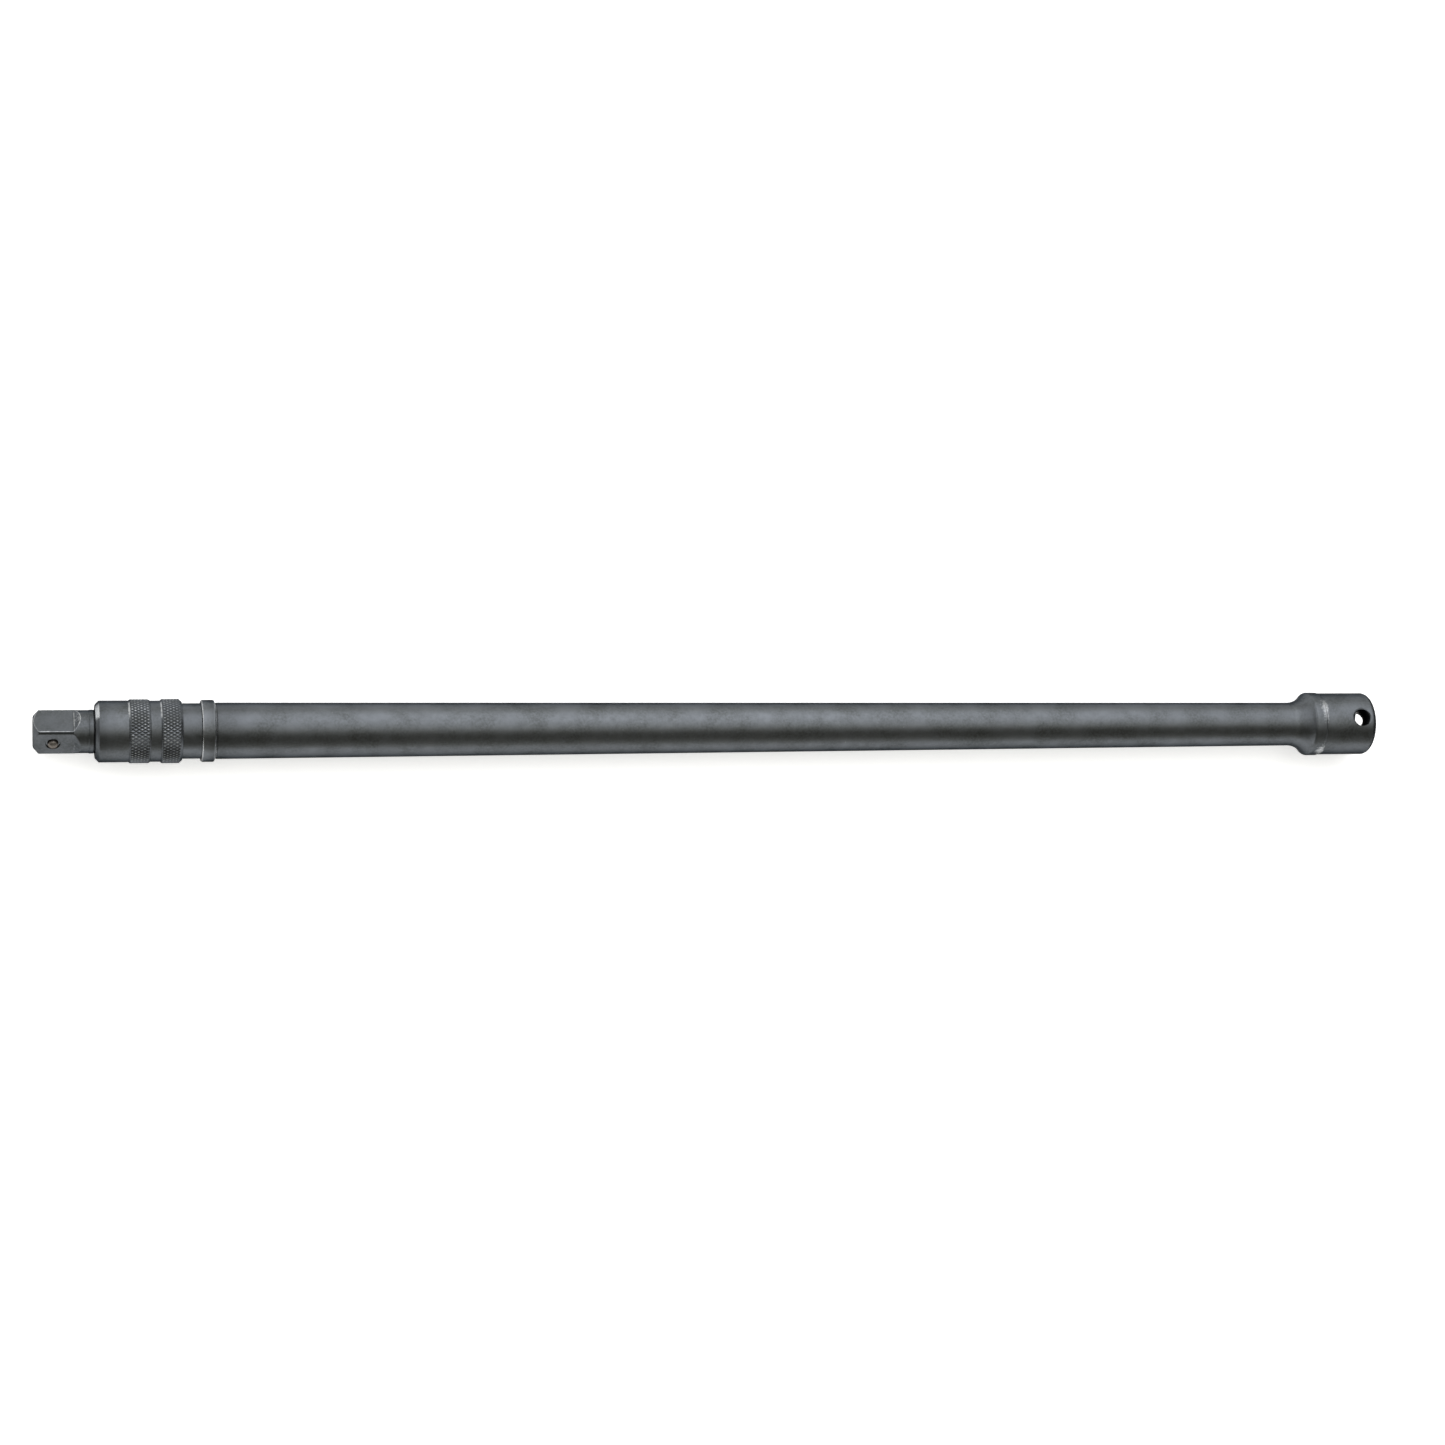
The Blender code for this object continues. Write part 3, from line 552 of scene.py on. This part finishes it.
def ring_mesh():
    """The stop ring, round on both edges: the front one rubbed bright, partly wear and partly a painted
    highlight; the back one and the bore painted in shade.
    """
    edge = 0.75 * MM
    bore = SEAT + 0.1 * MM
    front = arc(RING_FRONT + edge, RING_RADIUS - edge, edge, 180, 90, 10)
    back = arc(RING_BACK - edge, RING_RADIUS - edge, edge, 90, 0, 10)
    worn_and_highlit = [math.sin(math.pi * k / 10) for k in range(11)]
    profile = [(*point, wear_and_painted_light) for point, wear_and_painted_light in zip(front, worn_and_highlit)]
    # The back edge and the bore are painted in shade
    profile += [(*point, wear_and_painted_light - 0.5) for point, wear_and_painted_light in zip(back, worn_and_highlit)]
    profile += [(RING_BACK, bore, -0.5), (RING_FRONT, bore, -0.5)]
    return skin("stop_ring_fine", rings_from(profile, RING_FACETS), True)


def lock_pin_mesh():
    """The lock pin: a foot, a round shank and a low dome."""
    radius, foot, dome = 2.0 * MM, 2.45 * MM, 1.1 * MM
    top = FLAT + PIN_PROUD
    size = (radius ** 2 + dome ** 2) / (2 * dome)
    sweep = math.degrees(math.asin(radius / size))
    outline = [(2.05 * MM, NEARLY), (2.7 * MM, foot), (3.0 * MM, foot), (3.0 * MM, radius)]
    outline += arc(top - size, 0, size, sweep, 0.5, 12)
    return upright(turned("lock_pin_fine", outline, 96, False, 0.08 * MM), PIN_AT)


def coil_mesh(name, start, end, radius, wire, turns):
    """A round-wire spring about X, its end turns closed up."""
    steps, sides = round(turns * 40), 14
    points = []
    for k in range(steps + 1):
        share = k / steps
        closed_up = np.clip((turns * share - 0.75) / max(turns - 1.5, 0.1), 0, 1)
        x = start + wire + (end - start - 2 * wire) * (0.12 * share + 0.88 * closed_up)
        turn = TURN * turns * share
        for j in range(sides):
            across = TURN * j / sides
            reach = radius + wire * math.cos(across)
            points.append((x + wire * math.sin(across), reach * math.cos(turn), reach * math.sin(turn)))
    faces = [list(range(sides)), list(range(steps * sides, (steps + 1) * sides))[::-1]]
    for k in range(steps):
        for j in range(sides):
            after = (j + 1) % sides
            faces.append([k * sides + j, (k + 1) * sides + j, (k + 1) * sides + after, k * sides + after])
    mesh = bpy.data.meshes.new(name)
    mesh.from_pydata(points, [], faces)
    face_out(mesh)
    smooth(mesh)
    return mesh


def new_material(name):
    made = bpy.data.materials.new(name)
    made.use_nodes = True
    return made, made.node_tree.nodes, made.node_tree.links


def node(nodes, kind, **values):
    made = nodes.new(kind)
    for key, value in values.items():
        setattr(made, key, value)
    return made


def metal(name, base, dark, bare, roughness, grain=0.4, lathe=0.25, edge_tint=0.25, drive_end_shade=1.0):
    """Coated or bare steel: patches of tone, fine grain, turning lines, bright wear and painted highlights,
    painted shade, and a dark non-metal painted shade on hole walls.

    Its drive argument, under 1, paints shade on the steel in front of the sleeve.
    """
    made, nodes, links = new_material(name)
    shader = nodes["Principled BSDF"]
    shader.inputs["Specular Tint"].default_value = (edge_tint, edge_tint, edge_tint, 1)
    place = node(nodes, "ShaderNodeTexCoord").outputs["Object"]

    def noise(scale, detail=4.0, stretch=(1, 1, 1)):
        mapping = node(nodes, "ShaderNodeMapping")
        mapping.inputs["Scale"].default_value = stretch
        links.new(place, mapping.inputs["Vector"])
        made_noise = node(nodes, "ShaderNodeTexNoise")
        made_noise.inputs["Scale"].default_value = scale
        made_noise.inputs["Detail"].default_value = detail
        links.new(mapping.outputs["Vector"], made_noise.inputs["Vector"])
        return made_noise.outputs["Fac"]

    def ramp(source, low, high, first, last):
        made_ramp = node(nodes, "ShaderNodeMapRange", clamp=True)
        made_ramp.inputs["From Min"].default_value, made_ramp.inputs["From Max"].default_value = low, high
        made_ramp.inputs["To Min"].default_value, made_ramp.inputs["To Max"].default_value = first, last
        links.new(source, made_ramp.inputs["Value"])
        return made_ramp.outputs["Result"]

    def mix(factor, a, b):
        made_mix = node(nodes, "ShaderNodeMix", data_type="RGBA")
        links.new(factor, made_mix.inputs["Factor"])
        for socket, value in ((made_mix.inputs[6], a), (made_mix.inputs[7], b)):
            if isinstance(value, tuple):
                socket.default_value = (*value, 1)
            else:
                links.new(value, socket)
        return made_mix.outputs[2]

    def combine(operation, a, b):
        made_math = node(nodes, "ShaderNodeMath", operation=operation)
        for socket, value in zip(made_math.inputs, (a, b)):
            if isinstance(value, float):
                socket.default_value = value
            else:
                links.new(value, socket)
        return made_math.outputs[0]

    patches = combine("MULTIPLY", ramp(noise(95, 6), 0.3, 0.7, 0.0, 1.0),
                      ramp(noise(1100, 5), 0.3, 0.7, 0.35, 1.3))
    tone = mix(patches, base, dark)
    # Painted shade on the drive end
    if drive_end_shade < 1:
        split = node(nodes, "ShaderNodeSeparateXYZ")
        links.new(place, split.inputs["Vector"])
        tone = mix(ramp(split.outputs["X"], *DRIVE_SHADE, 1 - drive_end_shade, 0.0), tone, (0.0, 0.0, 0.0))
    wear_and_painted_light = node(nodes, "ShaderNodeAttribute", attribute_name="wear_and_painted_light").outputs["Fac"]
    uneven = combine("ADD", ramp(noise(900, 5), 0.25, 0.75, -0.4, 0.14),
                     ramp(noise(170, 3), 0.35, 0.65, -0.25, 0.1))
    # Bare colour for real wear and painted highlights
    worn_and_highlit = ramp(combine("ADD", wear_and_painted_light, uneven), *WEAR_AND_HIGHLIGHT_RANGE, 0.0, 1.0)
    # Painted shade where the value is below zero
    painted_shade = ramp(wear_and_painted_light, *SHADE_RANGE, 0.85, 0.0)
    colour = mix(painted_shade, mix(worn_and_highlit, tone, bare), tuple(0.25 * c for c in dark))
    # Dark non-metal painted shade on the hole walls
    hole_shade = ramp(wear_and_painted_light, *HOLE_SHADE_RANGE, 1.0, 0.0)
    links.new(mix(hole_shade, colour, HOLE_SHADE_COLOUR), shader.inputs["Base Color"])
    links.new(combine("SUBTRACT", 1.0, hole_shade), shader.inputs["Metallic"])
    rough = combine("ADD", ramp(noise(420, 5), 0.3, 0.7, roughness - 0.05, roughness + 0.07),
                    combine("MULTIPLY", worn_and_highlit, -0.08))
    links.new(rough, shader.inputs["Roughness"])
    fine = node(nodes, "ShaderNodeBump")
    fine.inputs["Strength"].default_value = grain
    fine.inputs["Distance"].default_value = GRAIN_HEIGHT
    links.new(noise(5200, 3), fine.inputs["Height"])
    lines = node(nodes, "ShaderNodeBump")
    lines.inputs["Strength"].default_value = lathe
    lines.inputs["Distance"].default_value = LATHE_HEIGHT
    links.new(noise(2600, 2, (1, 0.02, 0.02)), lines.inputs["Height"])
    links.new(fine.outputs["Normal"], lines.inputs["Normal"])
    links.new(lines.outputs["Normal"], shader.inputs["Normal"])
    return made


def studio():
    """The pale floor that the bar lies on, the light tent, and a lamp for the contact shadow."""
    tilt = math.atan((HEAD_BAND - SLEEVE_TOP) / (HEAD_STEP - SLEEVE_BACK))
    corners = [(x * FLOOR_REACH, y * FLOOR_REACH, 0) for x, y in ((-1, -1), (1, -1), (1, 1), (-1, 1))]
    floor_mesh = bpy.data.meshes.new("floor")
    floor_mesh.from_pydata(corners, [], [[0, 1, 2, 3]])
    floor = bpy.data.objects.new("floor", floor_mesh)
    floor.rotation_euler = (0, tilt, 0)
    floor.location = (HEAD_STEP, 0, -HEAD_BAND)
    bpy.context.scene.collection.objects.link(floor)
    made, nodes, _ = new_material("floor_paper")
    shader = nodes["Principled BSDF"]
    shader.inputs["Base Color"].default_value = (FLOOR_TONE, FLOOR_TONE, FLOOR_TONE, 1)
    shader.inputs["Roughness"].default_value = 0.9
    shader.inputs["Specular IOR Level"].default_value = 0.1
    shader.inputs["Emission Color"].default_value = (1, 1, 1, 1)
    shader.inputs["Emission Strength"].default_value = FLOOR_GLOW
    floor_mesh.materials.append(made)
    bpy.context.scene.world = light_tent()
    data = bpy.data.lights.new("soft_box", "AREA")
    data.shape, data.energy = "RECTANGLE", LAMP_POWER
    data.size, data.size_y = LAMP_SIZE
    lamp = bpy.data.objects.new("soft_box", data)
    lamp.location = (LENGTH / 2, LAMP_BEHIND, LAMP_HEIGHT)
    lamp.rotation_euler = (-math.atan2(LAMP_BEHIND, LAMP_HEIGHT), 0, 0)
    bpy.context.scene.collection.objects.link(lamp)
    bpy.context.scene.view_settings.view_transform = "Standard"


def graded(nodes, links, source, stops):
    """A colour that follows a value between -1 and 1 through (value, colour) stops."""
    share = nodes.new("ShaderNodeMapRange")
    share.inputs["From Min"].default_value, share.inputs["From Max"].default_value = -1, 1
    links.new(source, share.inputs["Value"])
    ramp = nodes.new("ShaderNodeValToRGB")
    ramp.color_ramp.interpolation = "EASE"
    elements = ramp.color_ramp.elements
    while len(elements) > 1:
        elements.remove(elements[0])
    elements[0].position = (stops[0][0] + 1) / 2
    elements[0].color = (*stops[0][1], 1)
    for value, colour in stops[1:]:
        elements.new((value + 1) / 2).color = (*colour, 1)
    links.new(share.outputs["Result"], ramp.inputs["Fac"])
    return ramp.outputs["Color"]


def light_tent():
    """A white tent round the bar: bright above and behind it, dark above its front, dim at both ends."""
    world = bpy.data.worlds.new("light_tent")
    world.use_nodes = True
    nodes, links = world.node_tree.nodes, world.node_tree.links
    way = nodes.new("ShaderNodeTexCoord")
    parts = nodes.new("ShaderNodeSeparateXYZ")
    lean = node(nodes, "ShaderNodeMath", operation="ARCTAN2")  # of a direction, from straight up towards +Y
    turn = node(nodes, "ShaderNodeMath", operation="DIVIDE")
    turn.inputs[1].default_value = math.pi
    mixed = [[dim + (lit - dim) * level for dim, lit in zip(TENT_DARK, TENT_BRIGHT)] for _, level in TENT]
    round_bar = [(degrees / 180, [level * part for part in tint])
                 for (degrees, level), tint in zip(TENT, mixed)]
    along_bar = [(x, [level] * 3) for x, level in TENT_ALONG]
    colour = nodes.new("ShaderNodeMix")
    colour.data_type, colour.blend_type = "RGBA", "MULTIPLY"
    colour.inputs["Factor"].default_value = 1.0
    links.new(way.outputs["Generated"], parts.inputs["Vector"])
    links.new(parts.outputs["Y"], lean.inputs[0])
    links.new(parts.outputs["Z"], lean.inputs[1])
    links.new(lean.outputs[0], turn.inputs[0])
    links.new(graded(nodes, links, turn.outputs[0], round_bar), colour.inputs[6])
    links.new(graded(nodes, links, parts.outputs["X"], along_bar), colour.inputs[7])
    links.new(colour.outputs[2], nodes["Background"].inputs["Color"])
    nodes["Background"].inputs["Strength"].default_value = TENT_STRENGTH
    return world


def camera():
    """A long lens almost straight above the male end, turned along the bar."""
    out = Vector((0, -math.cos(VIEW_ELEVATION), math.sin(VIEW_ELEVATION)))
    right = Vector((math.cos(VIEW_ALONG), 0, 0)) + out * math.sin(VIEW_ALONG)
    up = Vector((0, math.sin(VIEW_ELEVATION), math.cos(VIEW_ELEVATION)))
    back = right.cross(up)
    basis = Matrix((right, up, back)).transposed()
    data = bpy.data.cameras.new("camera")
    data.lens, data.sensor_width, data.clip_start = VIEW_LENS, VIEW_SENSOR, VIEW_NEAR
    made = bpy.data.objects.new("camera", data)
    turn = basis @ Matrix.Rotation(VIEW_LIFT, 3, "X") @ Matrix.Rotation(-VIEW_ROLL, 3, "Z")
    place = Vector((VIEW_AIM, 0, 0)) + out * VIEW_DISTANCE
    made.matrix_world = Matrix.Translation(place) @ turn.to_4x4()
    bpy.context.scene.collection.objects.link(made)
    bpy.context.scene.camera = made


def main():
    black, dark, worn_and_highlit = (0.118, 0.126, 0.137), (0.074, 0.079, 0.082), (0.40, 0.41, 0.42)
    oxide = metal("black_oxide", black, dark, worn_and_highlit, 0.33, drive_end_shade=0.92)
    sleeve_oxide = metal("sleeve_oxide", black, dark, worn_and_highlit, 0.35)
    ring_oxide = metal("ring_oxide", (0.145, 0.154, 0.166), (0.1, 0.106, 0.11), worn_and_highlit, 0.32)
    bare = metal("bare_steel", (0.2, 0.18, 0.17), (0.15, 0.135, 0.12), (0.3, 0.28, 0.26), 0.42, lathe=0.1)
    ground = metal("ground_steel", (0.5, 0.49, 0.47), (0.42, 0.41, 0.4), (0.6, 0.6, 0.58), 0.28,
                   edge_tint=0.8)
    spring = metal("spring_steel", (0.26, 0.25, 0.23), (0.2, 0.19, 0.175), (0.4, 0.4, 0.38), 0.3,
                   edge_tint=0.8)

    piece("bar", bar_mesh(), "bar", "extension_bar", oxide)
    piece("sleeve", sleeve_mesh(), "sleeve", "locking_sleeve", sleeve_oxide)
    piece("stop_collar", ring_mesh(), "bar", "stop_ring", ring_oxide)
    piece("lock_pin_domed", lock_pin_mesh(), "lock_pin", "lock_pin", bare)

    start, end = WASHER_BACK + 0.1 * MM, SHOULDER - 0.1 * MM
    coil = piece("return_coil", coil_mesh("return_coil", start, end, 9.75 * MM, 0.6 * MM, 6.5), None,
                 "return_spring", spring)
    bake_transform(coil)
    low, high = 3.05 * MM, 4.7 * MM
    fine = upright(coil_mesh("lock_pin_coil", low, high, 2.3 * MM, 0.13 * MM, 4.5), PIN_AT)
    coil = piece("lock_pin_coil", fine, None, "lock_pin_spring", spring)
    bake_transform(coil)

    for name, look in (("bore_plug", ring_oxide), ("lock_pin_bush", ring_oxide), ("front_snap_ring", spring),
                       ("cross_pin", ground), ("control_rod", ground), ("spring_washer", ground)):
        mesh = frame["nodes"][name].data
        mesh.materials.clear()
        mesh.materials.append(look)
    studio()
    camera()


main()
